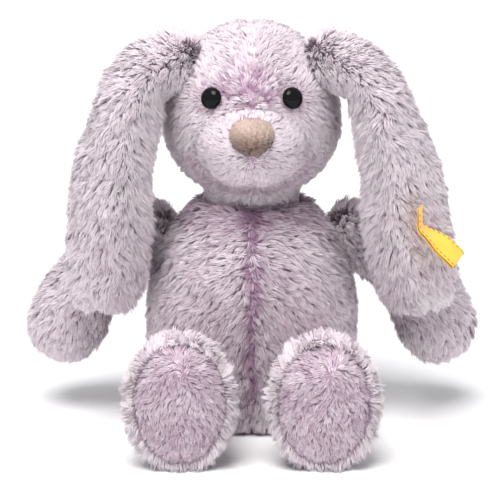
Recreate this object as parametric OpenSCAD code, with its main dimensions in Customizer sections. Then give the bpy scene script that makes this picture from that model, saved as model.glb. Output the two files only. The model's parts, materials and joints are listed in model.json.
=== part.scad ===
// Seated stuffed bunny with long drooping ears, cut and sewn from pile fabric.
// Every fabric panel, wad of stuffing and trim piece is a separate solid.
// The bunny faces -Y and sits on Z = 0. "Left" is the bunny's own left, on +X.
// The pile of the fabric isn't drawn: each panel is the cloth that the pile grows on.

/* [Fabric and gaps] */
// Thickness of the backing cloth
cloth = 1.6; // [1:0.1:2.4]
// Space between a panel and the wad behind it
fill_gap = 0.2; // [0.1:0.1:0.5]
// Space between two pieces that turn against each other
joint_gap = 0.6; // [0.4:0.1:1]

/* [Torso] */
// Height from the seat to the top of the shoulders
torso_h = 128; // [106:1:154]
// Width at the belly
torso_w = 116; // [98:1:140]
// Depth at the belly
torso_d = 100; // [84:1:120]
// Height of the widest part of the belly
belly_z = 50; // [42:1:60]
// Diameter of the flat round seat panel
seat_d = 64; // [54:1:76]
// Angle of the side seams behind the middle of the body
side_seam = 16; // [5:1:25]

/* [Seat bean pouch] */
// Diameter of the pouch
pouch_d = 56; // [46:1:60]
// Height of the pouch
pouch_h = 14; // [10:1:18]

/* [Head] */
// Width of the head
head_w = 98; // [82:1:118]
// Depth of the head
head_d = 94; // [80:1:112]
// Height of the head above its widest part
head_crown = 56; // [47:1:66]
// Height of the head below its widest part
head_jaw = 42; // [36:1:50]
// Diameter of the round neck end
neck_d = 52; // [44:1:60]

/* [Muzzle and nose] */
// Width of the muzzle
muzzle_w = 60; // [50:1:68]
// Height of the muzzle
muzzle_h = 45; // [38:1:52]
// How far the muzzle stands out of the face
muzzle_out = 16; // [10:1:22]
// How far the middle of the muzzle is below the widest part of the head
muzzle_drop = 10; // [7:1:12]
// Width of the nose
nose_w = 23; // [18:1:28]
// Height of the nose
nose_h = 19; // [15:1:22]
// How far the nose stands out of the muzzle
nose_out = 5; // [4:0.5:7]

/* [Eyes] */
// Diameter of an eye
eye_d = 12; // [9:0.5:15]
// Distance between the middles of the eyes
eye_spacing = 43; // [36:1:50]
// Height of the eyes above the widest part of the head
eye_rise = 18; // [14:1:22]
// Diameter of the stem behind an eye
stem_d = 3; // [2.4:0.2:4]
// Length of the stem behind the cloth
stem_l = 7; // [6:0.5:10]
// Diameter of the washer that holds the stem
washer_d = 13; // [11:0.5:15]

/* [Ears] */
// Diameter of the round end of an ear at the head
ear_root_d = 30; // [25:1:36]
// Thickness of an ear where it droops and is thickest
ear_t = 38; // [31:1:45]
// Thickness of an ear where it bends over
ear_bend_t = 28; // [23:1:33]
// Width of an ear from its front edge to its back edge
ear_w = 36; // [30:1:42]
// Length of the drooping part of an ear
ear_drop = 118; // [99:1:124]
// Space between an ear and the side of the torso
ear_side_gap = 2; // [1:1:10]
// Space between an ear and the arm behind it
ear_arm_gap = 5; // [4:1:9]
// Depth of the lengthwise fold in the left ear, as a share of its thickness
ear_fold = 0.3; // [0.1:0.05:0.4]

/* [Ribbon loop on the left ear] */
// Width of the ribbon
ribbon_w = 14; // [10:1:18]
// Length of the loop
ribbon_l = 29; // [22:1:32]
// Thickness of the ribbon
ribbon_t = 0.6; // [0.5:0.1:1]

/* [Arms] */
// Height of the shoulders
shoulder_z = 105; // [88:1:110]
// Diameter of an arm at the shoulder
arm_root_d = 34; // [28:1:38]
// Diameter of a hand
hand_d = 43; // [36:1:48]
// Length from the shoulder to the middle of the hand
arm_l = 71; // [60:1:80]
// Angle of the arms out from straight down
arm_angle = 42; // [35:1:52]
// Distance of the arms behind the middle of the torso
arm_back = 16; // [8:1:20]

/* [Legs] */
// Height of the hips
hip_z = 36; // [30:1:42]
// Distance between the middles of the legs
leg_spacing = 76; // [66:1:90]
// Diameter of a leg at the hip
leg_root_d = 46; // [40:1:52]
// Length from the hip to the edge of the sole
leg_l = 48; // [40:1:60]
// Width of a foot
foot_w = 52; // [44:1:60]
// Height of a foot
foot_h = 70; // [60:1:74]
// How far the sole bulges past its seam
sole_bulge = 11; // [7:1:14]

/* [Tail] */
// Diameter of the tail
tail_d = 32; // [24:1:38]
// Height of the middle of the tail
tail_z = 30; // [24:1:40]

/* [Hidden] */

fur_colour = "#cdb9c9";
seam_colour = "#8d7489";
fill_colour = "#f4f1ec";
nose_colour = "#d2ab95";
ribbon_colour = "#f0a530";

cap_steps = 5;          // rings in each round end of a limb
shell_cols = 8;         // faces across a limb panel
body_cols = 14;         // faces across half of the head or torso
stitch_d = 1.1;         // thickness of the sewing thread
wad = cloth + fill_gap; // from the outside of a panel to the wad behind it

// ---- curves and small helpers ----

function unit(v) = v / norm(v);
function mix(a, b, f) = a + (b - a) * f;
function clamp01(f) = min(max(f, 0), 1);
function flat(rows) = [for (row = rows) each row];

// A smooth curve through evenly spaced values, which may be numbers or points
function through(p, f) =
  let (
    last = len(p) - 1,
    s = clamp01(f) * last,
    i = min(floor(s), last - 1),
    t = s - i,
    a = p[max(i - 1, 0)],
    b = p[i],
    c = p[i + 1],
    d = p[min(i + 2, last)]
  )
  0.5 * (2 * b + (c - a) * t + (2 * a - 5 * b + 4 * c - d) * t * t
    + (3 * b - a - 3 * c + d) * t * t * t);

function heading(path, f) = unit(through(path, f + 0.02) - through(path, f - 0.02));

// The same outline moved towards its inside by d; an outline is a list of [radius, z]
function inset_outline(p, d) =
  [for (i = [0 : len(p) - 1])
    let (along = unit(p[min(i + 1, len(p) - 1)] - p[max(i - 1, 0)]))
    p[i] + d * [-along[1], along[0]]];

// ---- grids of points made into closed solids ----

// Triangles of a grid with `rows` rows of `cols` points; a pole is a row whose points coincide
function grid_faces(rows, cols, first, inside, pole_start, pole_end) =
  [for (i = [0 : rows - 2], j = [0 : cols - 2])
    let (a = first + i * cols + j, b = a + 1, c = a + cols, d = c + 1)
    each concat(
      i == 0 && pole_start ? [] : [inside ? [a, b, c] : [a, c, b]],
      i == rows - 2 && pole_end ? [] : [inside ? [b, d, c] : [b, c, d]]
    )];

// Two triangles that join an edge of the outer grid to the same edge of the inner grid
function rim(p, q, k, turned) =
  turned ? [[p, q + k, q], [p, p + k, q + k]] : [[p, q, q + k], [p, q + k, p + k]];

function shell_faces(rows, cols, pole_start, pole_end, closed) =
  let (k = rows * cols, last = (rows - 1) * cols)
  concat(
    grid_faces(rows, cols, 0, false, pole_start, pole_end),
    grid_faces(rows, cols, k, true, pole_start, pole_end),
    closed ? [] : [for (i = [0 : rows - 2]) each rim(i * cols, (i + 1) * cols, k, true)],
    closed ? [] : [for (i = [1 : rows - 1]) each rim(i * cols - 1, (i + 1) * cols - 1, k, false)],
    pole_start ? [] : [for (j = [0 : cols - 2]) each rim(j, j + 1, k, false)],
    pole_end ? [] : [for (j = [0 : cols - 2]) each rim(last + j, last + j + 1, k, true)]
  );

// A sheet of cloth between an outer and an inner grid
module cloth_panel(outer, inner, pole_start = false, pole_end = false, closed = false)
  polyhedron(
    points = concat(flat(outer), flat(inner)),
    faces = shell_faces(len(outer), len(outer[0]), pole_start, pole_end, closed),
    convexity = 6
  );

// A solid wad inside a grid that wraps round and has a pole at each end
module wad_solid(rows)
  polyhedron(
    points = flat(rows),
    faces = grid_faces(len(rows), len(rows[0]), 0, false, true, true),
    convexity = 6
  );

// ---- limbs: bags of cloth round a curved middle line ----

fold_at = -62; // where an ear's lengthwise groove is, in degrees from its outer side

function turn_from(angle, middle) = (angle - middle + 900) % 360 - 180;

// One ring of points; fold presses a lengthwise groove into the front edge
function ring(centre, along, side, half, from, to, cols, fold) =
  let (b = unit(side - (side * along) * along), n = cross(b, along))
  [for (k = [0 : cols])
    let (phi = mix(from, to, k / cols), press = 1 - fold * exp(-pow(turn_from(phi, fold_at) / 24, 2)))
    centre + press * (half[0] * cos(phi) * n + half[1] * sin(phi) * b)];

// A limb is [middle line, half thickness and width along it, root radius, tip length, side, fold]
function limb_rows(limb, inset, from, to, cols, mids) =
  let (
    path = limb[0],
    root = limb[2] - inset,
    tip = limb[3] - inset,
    side = limb[4],
    t0 = heading(path, 0),
    t1 = heading(path, 1),
    end = through(limb[1], 1) - [inset, inset]
  )
  concat(
    [for (i = [0 : cap_steps - 1])
      let (w = 90 * i / cap_steps)
      ring(path[0] - root * cos(w) * t0, t0, side, root * sin(w) * [1, 1], from, to, cols, 0)],
    [for (i = [0 : mids])
      let (f = i / mids)
      ring(through(path, f), heading(path, f), side, through(limb[1], f) - [inset, inset],
        from, to, cols, limb[5] * sin(90 * clamp01(f * 1.4)))],
    [for (i = [1 : cap_steps])
      let (w = 90 * i / cap_steps)
      ring(through(path, 1) + tip * sin(w) * t1, t1, side, pow(cos(w), 0.8) * end,
        from, to, cols, limb[5])]
  );

function part_of(rows, first, last) = [for (i = [first : last]) rows[i]];

module limb_panel(limb, from, to, mids)
  cloth_panel(
    limb_rows(limb, 0, from, to, shell_cols, mids),
    limb_rows(limb, cloth, from, to, shell_cols, mids),
    pole_start = true,
    pole_end = true
  );

module limb_wad(limb, mids)
  wad_solid(limb_rows(limb, wad, 0, 360, 2 * shell_cols, mids));

// ---- torso ----

neck_z = torso_h; // the round neck end turns about its middle, level with the top of the torso
neck_r = neck_d / 2;
seam_room = stitch_d + 0.8; // width of the gap round the neck that holds the thread
rim_r = neck_r + seam_room + cloth;
torso_steps = 11;

function torso_radius(z) =
  z < belly_z
    ? mix(seat_d / 2, torso_w / 2, pow(1 - pow(1 - z / belly_z, 2.2), 1 / 2.2))
    : mix(rim_r, torso_w / 2, cos(90 * pow((z - belly_z) / (torso_h - belly_z), 1.6)));

// Depth over width: round at the seat and at the neck, flatter at the belly
function torso_flat(z) = mix(1, torso_d / torso_w, sin(180 * pow(clamp01(z / torso_h), 0.7)));
function torso_front(x, z) = torso_flat(z) * sqrt(pow(torso_radius(z), 2) - x * x);
function torso_side(y, z) = sqrt(pow(torso_radius(z), 2) - pow(y / torso_flat(z), 2));

torso_outline = concat(
  [for (i = [0 : 6]) let (z = belly_z * (1 - cos(90 * i / 6))) [torso_radius(z), z]],
  [for (i = [1 : torso_steps])
    let (z = mix(belly_z, torso_h, i / torso_steps)) [torso_radius(z), z]]
);

function turned_rows(outline, angles) =
  [for (p = outline)
    [for (phi = angles) [p[0] * cos(phi), p[0] * torso_flat(p[1]) * sin(phi), p[1]]]];

// Angles of the columns of points across one panel, and round the whole body
function panel_angles(from, to) = [for (k = [0 : body_cols / 2]) mix(from, to, k / (body_cols / 2))];
back_angles = panel_angles(90, 180 - side_seam);
front_angles = panel_angles(180 - side_seam, 270);
function but_first(list) = [for (i = [1 : len(list) - 1]) list[i]];
function mirrored(angles) = [for (i = [len(angles) - 1 : -1 : 0]) 540 - angles[i]];
round_angles = concat(
  back_angles, but_first(front_angles), but_first(mirrored(front_angles)),
  but_first(mirrored(back_angles))
);

module torso_panel(angles)
  cloth_panel(
    turned_rows(torso_outline, angles),
    turned_rows(inset_outline(torso_outline, cloth), angles)
  );

wad_outline = inset_outline(torso_outline, wad);
wad_top = neck_z - 3;
stuffing_outline = concat(
  [[0, wad]],
  [for (p = wad_outline) if (p[1] < wad_top - 1) p],
  [[torso_radius(wad_top) - 2 * wad, wad_top], [0, wad_top]]
);

arm_sunk = 1.5; // how deep the round end of an arm sits in the torso
leg_sunk = 9; // how deep the round end of a leg sits in the torso
shoulder = [-(torso_side(arm_back, shoulder_z) + arm_root_d / 2 - arm_sunk), arm_back, shoulder_z];
hip = [-leg_spacing / 2, -(torso_front(leg_spacing / 2, hip_z) + leg_root_d / 2 - leg_sunk), hip_z];

module at(point) translate(point) children();

// Room for the round ends of the arms and legs
module limb_hollows() {
  for (side = [0, 1]) mirror([side, 0, 0]) {
    at(shoulder) sphere(r = arm_root_d / 2 + joint_gap, $fn = 64);
    at(hip) sphere(r = leg_root_d / 2 + joint_gap, $fn = 64);
  }
}

module torso_front_right() color(fur_colour) difference() {
  torso_panel(front_angles);
  limb_hollows();
}
module torso_front_left() mirror([1, 0, 0]) torso_front_right();

module torso_back_right() color(fur_colour) difference() {
  torso_panel(back_angles);
  at(shoulder) sphere(r = arm_root_d / 2 + joint_gap, $fn = 64);
}
module torso_back_left() mirror([1, 0, 0]) torso_back_right();

// The flat panel that the bunny sits on
seat_r = seat_d / 2 * torso_flat(cloth) * cos((90 + side_seam) / body_cols) - 1.5 * fill_gap;
module torso_seat() color(fur_colour) cylinder(r = seat_r, h = cloth, $fn = 48);

module torso_stuffing() color(fill_colour) difference() {
  wad_solid(turned_rows(stuffing_outline, round_angles));
  limb_hollows();
  at([0, 0, neck_z]) sphere(r = neck_r + joint_gap, $fn = 64);
  cylinder(d = pouch_d + 2 * fill_gap, h = pouch_z + pouch_h + fill_gap, $fn = 64);
}

// ---- bean pouch in the seat ----

pouch_z = cloth + fill_gap;
pouch_cloth = 0.8;

// Half of the pouch, open at its top
module pouch_half(r) difference() {
  cylinder(r = r, h = pouch_h / 2, $fn = 48);
  at([0, 0, pouch_cloth]) cylinder(r = r - pouch_cloth, h = pouch_h, $fn = 48);
}
module pouch_bottom() color("#e8e2d6")
  at([0, 0, pouch_z]) pouch_half(pouch_d / 2 - fill_gap);
module pouch_top() color("#e8e2d6")
  at([0, 0, pouch_z + pouch_h]) mirror([0, 0, 1]) pouch_half(pouch_d / 2 - fill_gap);
module pouch_pellets() color("#bfc7cf")
  at([0, 0, pouch_z + pouch_cloth + fill_gap]) cylinder(
    r = pouch_d / 2 - pouch_cloth - 2 * fill_gap,
    h = pouch_h - 2 * (pouch_cloth + fill_gap),
    $fn = 48
  );

// ---- tail ----

tail_open = 18; // opening of the gathered cover against the body
tail_y = torso_front(0, tail_z) + tail_d / 2 - 1;
tail_base = -sqrt(pow(tail_d / 2 - wad, 2) - pow(tail_open / 2, 2));

// Half of a round slice through the tail, from its open end to its far end
module tail_slice(r) intersection() {
  circle(r = r, $fn = 96);
  translate([0, tail_base]) square([tail_d, 2 * tail_d]);
}
module at_tail() at([0, tail_y, tail_z]) rotate([-90, 0, 0]) children();

module tail_cover() color(fur_colour) at_tail() rotate_extrude($fn = 96) difference() {
  tail_slice(tail_d / 2);
  circle(r = tail_d / 2 - cloth, $fn = 96);
}
module tail_stuffing() color(fill_colour) at_tail() rotate_extrude($fn = 96)
  tail_slice(tail_d / 2 - wad);

// ---- head ----

head_x = head_w / 2;
head_flat = head_d / head_w;
neck_turn = 17; // how far the round neck end rises above its own middle before the head begins
neck_join = neck_r * cos(neck_turn);
head_start = -acos(neck_join / head_x);
head_z = neck_z + neck_r * sin(neck_turn) - head_jaw * sin(head_start);

// Half height of the head above or below its widest part
function head_half(above) = above > 0 ? head_crown : head_jaw;
function head_angle(z) = asin(max(-1, min(1, (z - head_z) / head_half(z - head_z))));
function head_ratio(w) = mix(1, head_flat, clamp01((w - head_start) / 30));

// How far the front of the head is from its middle at a place on the face
function face(x, z) =
  let (w = head_angle(z), r = head_x * cos(w))
  head_ratio(w) * sqrt(max(0, r * r - x * x));

function head_outline(inset) = concat(
  [for (i = [0 : 6]) let (w = mix(-90, neck_turn, i / 6))
    [(neck_r - inset) * cos(w), neck_z + (neck_r - inset) * sin(w), 1]],
  [for (i = [1 : 16]) let (w = mix(head_start, 90, i / 16))
    [(head_x - inset) * cos(w), head_z + (head_half(w) - inset) * sin(w), head_ratio(w)]]
);

function head_rows(inset, from, to, cols) =
  [for (p = head_outline(inset))
    [for (k = [0 : cols])
      let (phi = mix(from, to, k / cols)) [p[0] * cos(phi), p[0] * p[2] * sin(phi), p[1]]]];

// The right ear leaves the head here; directions are shares of the head's half sizes
ear_direction = unit([-0.77, -0.23, 0.56]);
ear_stand = 6; // from the head's surface to the middle of the ear's round end
ear_root = [0, 0, head_z] + ear_stand * ear_direction
  + [ear_direction[0] * head_x, ear_direction[1] * head_d / 2, ear_direction[2] * head_crown];

eye_x = eye_spacing / 2;
eye_z = head_z + eye_rise;
eye_y = -face(eye_x, eye_z);
eye_normal = unit([
  eye_x / pow(head_x, 2), eye_y / pow(head_d / 2, 2), eye_rise / pow(head_crown, 2)
]);

// Places children on the left eye, with +Z out of the face
module at_eye()
  at([eye_x, eye_y, eye_z])
    rotate([0, acos(eye_normal[2]), atan2(eye_normal[1], eye_normal[0])]) children();

washer_t = 1.2;
washer_top = cloth + 0.7;
stem_hole = stem_d + 0.4;

module head_left() color(fur_colour) difference() {
  cloth_panel(
    head_rows(0, -90, 90, body_cols), head_rows(cloth, -90, 90, body_cols), true, true
  );
  mirror([1, 0, 0]) at(ear_root) sphere(r = ear_root_d / 2 + joint_gap, $fn = 64);
  at_eye() at([0, 0, -3 * cloth]) cylinder(d = stem_hole, h = 6 * cloth, $fn = 24);
}
module head_right() mirror([1, 0, 0]) head_left();

module head_stuffing() color(fill_colour) difference() {
  wad_solid(head_rows(wad, 0, 360, 2 * body_cols));
  for (side = [0, 1]) mirror([side, 0, 0]) {
    at(ear_root) sphere(r = ear_root_d / 2 + joint_gap, $fn = 64);
    mirror([1, 0, 0]) at_eye() {
      at([0, 0, -washer_top - washer_t - fill_gap])
        cylinder(d = washer_d + 0.6, h = 3 * cloth + washer_t, $fn = 48);
      at([0, 0, -stem_l - cloth - 0.5]) cylinder(d = stem_hole, h = stem_l + 1, $fn = 24);
    }
  }
}

module eye_left() color("#141316") at_eye() {
  at([0, 0, 0.1]) intersection() {
    at([0, 0, -eye_d * 0.12]) sphere(d = eye_d * 1.04, $fn = 64);
    cylinder(d = eye_d, h = eye_d, $fn = 48);
  }
  at([0, 0, -stem_l - cloth]) cylinder(d = stem_d, h = stem_l + cloth + 0.6, $fn = 24);
}
module eye_right() mirror([1, 0, 0]) eye_left();

module eye_washer_left() color("#dcdcd8") at_eye()
  at([0, 0, -washer_top - washer_t]) difference() {
    cylinder(d = washer_d, h = washer_t, $fn = 48);
    at([0, 0, -1]) cylinder(d = stem_d + 0.1, h = washer_t + 2, $fn = 24);
  }
module eye_washer_right() mirror([1, 0, 0]) eye_washer_left();

// ---- muzzle and nose: domes that lie on the face ----

muzzle_z = head_z - muzzle_drop;
nose_z = muzzle_z + muzzle_h * 0.22;
patch_rows = 6;
skin_gap = 0.15; // between a dome and the cloth under it

function dome(f) = pow(1 - pow(clamp01(f), 2.6), 1 / 1.7);
function muzzle_front(x, z) =
  let (f = norm([x / (muzzle_w / 2), (z - muzzle_z) / (muzzle_h / 2)]))
  face(x, z) + skin_gap + muzzle_out * dome(f);

// A point of the muzzle: f from the middle to the edge, phi round it
function muzzle_point(f, phi, inset, out) =
  let (
    x = (muzzle_w / 2 - inset) * f * cos(phi),
    z = muzzle_z + (muzzle_h / 2 - inset) * f * sin(phi)
  )
  [x, -(face(x, z) + skin_gap + out * dome(f)), z];

function muzzle_rows(inset, out, from, to, cols) =
  [for (i = [0 : patch_rows]) let (f = sin(90 * i / patch_rows))
    [for (k = [0 : cols]) muzzle_point(f, mix(from, to, k / cols), inset, out)]];

module muzzle_left() color(fur_colour) cloth_panel(
  muzzle_rows(0, muzzle_out, 90, -90, 10),
  muzzle_rows(cloth, muzzle_out - cloth, 90, -90, 10),
  pole_start = true
);
module muzzle_right() mirror([1, 0, 0]) muzzle_left();

function backwards(rows) = [for (i = [len(rows) - 1 : -1 : 0]) rows[i]];

module muzzle_stuffing() color(fill_colour) wad_solid(concat(
  muzzle_rows(wad, muzzle_out - wad, 360, 0, 20),
  backwards(part_of(muzzle_rows(wad, 0, 360, 0, 20), 0, patch_rows - 1))
));

// The nose is wide at the top and narrower below
function nose_point(f, phi, inset, out) =
  let (
    z = nose_z + (nose_h / 2 - inset) * f * sin(phi),
    x = (nose_w / 2 - inset) * f * cos(phi) * (1 + 0.16 * sin(phi))
  )
  [x, -(muzzle_front(x, z) + skin_gap + out * dome(f)), z];

function nose_rows(inset, out) =
  [for (i = [0 : patch_rows]) let (f = sin(90 * i / patch_rows))
    [for (k = [0 : 20]) nose_point(f, 360 - 18 * k, inset, out)]];

nose_cloth = 0.8;
module nose_cover() color(nose_colour) cloth_panel(
  nose_rows(0, nose_out), nose_rows(nose_cloth, nose_out - nose_cloth),
  pole_start = true, closed = true
);
module nose_padding() color(fill_colour) wad_solid(concat(
  nose_rows(nose_cloth + fill_gap, nose_out - nose_cloth - fill_gap),
  backwards(part_of(nose_rows(nose_cloth + fill_gap, 0), 0, patch_rows - 1))
));

// ---- arms, drawn for the right side ----

arm_bow = 7; // how far the middle of an arm bends outwards
hand = shoulder + arm_l * [-sin(arm_angle), 0, -cos(arm_angle)];
arm = [
  [for (f = [0, 0.33, 0.67, 1]) mix(shoulder, hand, f) + arm_bow * sin(180 * f) * [-0.8, 0, 0.6]],
  [for (d = [arm_root_d, arm_root_d + 0.5, mix(arm_root_d, hand_d, 0.6), hand_d]) [d, d] / 2],
  arm_root_d / 2, hand_d / 2, [0, 1, 0], 0
];
arm_mids = 6;

module arm_right_front() color(fur_colour) limb_panel(arm, -180, 0, arm_mids);
module arm_right_back() color(fur_colour) limb_panel(arm, 0, 180, arm_mids);
module arm_right_stuffing() color(fill_colour) limb_wad(arm, arm_mids);
module arm_left_front() mirror([1, 0, 0]) arm_right_front();
module arm_left_back() mirror([1, 0, 0]) arm_right_back();
module arm_left_stuffing() mirror([1, 0, 0]) arm_right_stuffing();

// ---- legs, drawn for the right side ----

ankle = hip + [0, -leg_l, foot_h / 2 + 2 - hip_z];
leg = [
  [for (f = [0, 0.33, 0.67, 1]) mix(hip, ankle, f)],
  [[leg_root_d - 2, leg_root_d], [leg_root_d - 5, leg_root_d],
    [mix(leg_root_d, foot_w, 0.5), mix(leg_root_d, foot_h, 0.6)], [foot_w, foot_h]] / 2,
  leg_root_d / 2, sole_bulge, [0, 0, 1], 0
];
leg_mids = 6;
sole_row = cap_steps + leg_mids + 1; // the row of the sole's seam

module leg_side(from, to) cloth_panel(
  part_of(limb_rows(leg, 0, from, to, shell_cols, leg_mids), 0, sole_row),
  part_of(limb_rows(leg, cloth, from, to, shell_cols, leg_mids), 0, sole_row),
  pole_start = true
);

module leg_right_inner() color(fur_colour) leg_side(-90, 90);
module leg_right_outer() color(fur_colour) leg_side(90, 270);
module leg_right_sole() color(fur_colour) cloth_panel(
  part_of(limb_rows(leg, 0, 0, 360, 2 * shell_cols, leg_mids), sole_row, sole_row + cap_steps - 1),
  part_of(limb_rows(leg, cloth, 0, 360, 2 * shell_cols, leg_mids), sole_row, sole_row + cap_steps - 1),
  pole_end = true, closed = true
);
module leg_right_stuffing() color(fill_colour) limb_wad(leg, leg_mids);
module leg_left_inner() mirror([1, 0, 0]) leg_right_inner();
module leg_left_outer() mirror([1, 0, 0]) leg_right_outer();
module leg_left_sole() mirror([1, 0, 0]) leg_right_sole();
module leg_left_stuffing() mirror([1, 0, 0]) leg_right_stuffing();

// ---- ears, drawn for the right side ----

ear_y = arm_back - hand_d / 2 - ear_arm_gap - ear_w / 2;
ear_x = -(torso_w / 2 + ear_side_gap + ear_t / 2);

// Middle line of an ear that leaves the head sideways and droops; spread moves it outwards
function ear_line(spread) = [
  ear_root,
  [mix(ear_root[0], ear_x, 0.55) - spread * 0.3, mix(ear_root[1], ear_y, 0.65), ear_root[2] - 8],
  [mix(ear_root[0], ear_x, 0.8) - spread * 0.5, ear_y, ear_root[2] - ear_drop * 0.29],
  [ear_x - spread * 0.65, ear_y, ear_root[2] - ear_drop * 0.52],
  [ear_x - spread * 0.9 - 1.5, ear_y, ear_root[2] - ear_drop * 0.78],
  [ear_x - spread * 1.3 - 4, ear_y, ear_root[2] - ear_drop]
];
function ear_halves(t, bend_t) = [
  [ear_root_d, ear_root_d] / 2,
  [bend_t, ear_root_d + 2] / 2,
  [mix(bend_t, t, 0.3), ear_w] / 2,
  [mix(bend_t, t, 0.8), ear_w] / 2,
  [t + 1, ear_w] / 2,
  [t - 1, ear_w - 3] / 2
];
ear_tip = 19;
right_ear = [ear_line(0), ear_halves(ear_t, ear_bend_t), ear_root_d / 2, ear_tip, [0, 1, 0], 0.06];
left_ear = [ear_line(8), ear_halves(ear_t + 2, ear_bend_t - 3), ear_root_d / 2, ear_tip, [0, 1, 0], ear_fold];
ear_mids = 12;

module ear_right_outer() color(fur_colour) limb_panel(right_ear, -90, 90, ear_mids);
module ear_right_inner() color(fur_colour) limb_panel(right_ear, 90, 270, ear_mids);
module ear_right_wadding() color(fill_colour) limb_wad(right_ear, ear_mids);
module ear_left_outer() mirror([1, 0, 0]) color(fur_colour) limb_panel(left_ear, -90, 90, ear_mids);
module ear_left_inner() mirror([1, 0, 0]) color(fur_colour) limb_panel(left_ear, 90, 270, ear_mids);
module ear_left_wadding() mirror([1, 0, 0]) color(fill_colour) limb_wad(left_ear, ear_mids);

// ---- plain ribbon loop sewn into the fold of the left ear ----

ribbon_turn = 52;   // how far the loop swings away from straight down
ribbon_tilt = 14;   // how far its flat side turns towards the front
ribbon_tab = 11;    // straight length that is sewn down, above the loop
ribbon_stand = 1.5; // from the front of the ear to the ribbon
ribbon_at = [
  -(ear_x - 12), ear_y - (ear_w + ribbon_w) / 2 - ribbon_stand, ear_root[2] - ear_drop * 0.72
];

// Places an outline with X down the ribbon and Y through its thickness
module along_ribbon(turn) at(ribbon_at) rotate([0, -turn, 0])
  rotate([0, 0, 90 - ribbon_tilt]) rotate([0, 90, 0])
    linear_extrude(ribbon_w, center = true) children();

// A flat strip with a round end
module strip(from, to, r) hull() {
  translate([to - r, 0]) circle(r = r, $fn = 32);
  translate([from, -r]) square([ribbon_t, 2 * r]);
}

// The ribbon is folded once, so the loop has two layers and a round bend at its far end
module ribbon_loop() color(ribbon_colour) {
  along_ribbon(ribbon_turn) difference() {
    strip(0, ribbon_l, 1.5 * ribbon_t);
    strip(3, ribbon_l - ribbon_t, 0.5 * ribbon_t);
  }
  along_ribbon(0) translate([-ribbon_tab, -1.5 * ribbon_t])
    square([ribbon_tab + ribbon_t, 3 * ribbon_t]);
}

// Short stitches between the tab and the bottom of the fold
module ribbon_stitches() color(seam_colour)
  for (k = [1 : 4])
    at([ribbon_at[0], ribbon_at[1] + ribbon_w / 2 + 0.3, ribbon_at[2] + k * ribbon_tab / 5])
      rotate([-90, 0, 0]) cylinder(d = 0.8, h = ribbon_stand - 0.5, $fn = 16);

// ---- rings of thread where the limbs are sewn on ----

// A ring of thread round a limb, just outside the seam
module seam_ring(limb, out, r)
  let (t = heading(limb[0], 0))
    at(limb[0][0] + out * t)
      rotate([0, acos(t[2]), atan2(t[1], t[0])])
        rotate_extrude($fn = 48) translate([r + 0.3 + stitch_d / 2, 0]) circle(d = stitch_d, $fn = 16);

// The thread round the neck lies in the gap between the torso and the round neck end
module neck_seam() color(seam_colour) at([0, 0, neck_z - stitch_d / 2])
  rotate_extrude($fn = 48)
    translate([neck_r + seam_room / 2, 0]) circle(d = stitch_d, $fn = 16);
module shoulder_seam_right() color(seam_colour) seam_ring(arm, 12, arm_root_d / 2);
module shoulder_seam_left() mirror([1, 0, 0]) shoulder_seam_right();
module hip_seam_right() color(seam_colour) seam_ring(leg, 11, leg_root_d / 2);
module hip_seam_left() mirror([1, 0, 0]) hip_seam_right();
module ear_seam_right() color(seam_colour) seam_ring(right_ear, 13, ear_root_d / 2 + 0.5);
module ear_seam_left() mirror([1, 0, 0]) color(seam_colour) seam_ring(left_ear, 13, ear_root_d / 2 + 0.5);

// ---- the whole bunny, moved so that Y = 0 is halfway between the soles and the tail ----

front_y = ankle[1] - sole_bulge;
back_y = tail_y + tail_d / 2;
module placed() at([0, -(front_y + back_y) / 2, 0]) children();

placed() torso_front_left();
placed() torso_front_right();
placed() torso_back_left();
placed() torso_back_right();
placed() torso_seat();
placed() torso_stuffing();
placed() pouch_top();
placed() pouch_bottom();
placed() pouch_pellets();
placed() tail_cover();
placed() tail_stuffing();
placed() head_left();
placed() head_right();
placed() head_stuffing();
placed() muzzle_left();
placed() muzzle_right();
placed() muzzle_stuffing();
placed() nose_cover();
placed() nose_padding();
placed() eye_left();
placed() eye_right();
placed() eye_washer_left();
placed() eye_washer_right();
placed() ear_left_outer();
placed() ear_left_inner();
placed() ear_left_wadding();
placed() ear_right_outer();
placed() ear_right_inner();
placed() ear_right_wadding();
placed() ribbon_loop();
placed() ribbon_stitches();
placed() arm_left_front();
placed() arm_left_back();
placed() arm_left_stuffing();
placed() arm_right_front();
placed() arm_right_back();
placed() arm_right_stuffing();
placed() leg_left_inner();
placed() leg_left_outer();
placed() leg_left_sole();
placed() leg_left_stuffing();
placed() leg_right_inner();
placed() leg_right_outer();
placed() leg_right_sole();
placed() leg_right_stuffing();
placed() neck_seam();
placed() shoulder_seam_left();
placed() shoulder_seam_right();
placed() ear_seam_left();
placed() ear_seam_right();
placed() hip_seam_left();
placed() hip_seam_right();
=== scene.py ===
# %% [markdown]
# # A seated stuffed bunny in lilac pile fabric
# The bunny's design comes ready in model.glb: every panel, wad and trim piece is a closed solid, and the
# limbs turn on real seams. This lesson dresses that design. It sews the panels into plump
# cloth skins, grows the pile on them strand by strand, and adds the nose, the eyes and the
# ribbon. Nothing is moved or resized: each piece is made from the solids it stands for.

# %% Load the imported model
import json
import math

import bmesh
import bpy
import numpy as np
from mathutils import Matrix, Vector, kdtree
from mathutils.bvhtree import BVHTree


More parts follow.
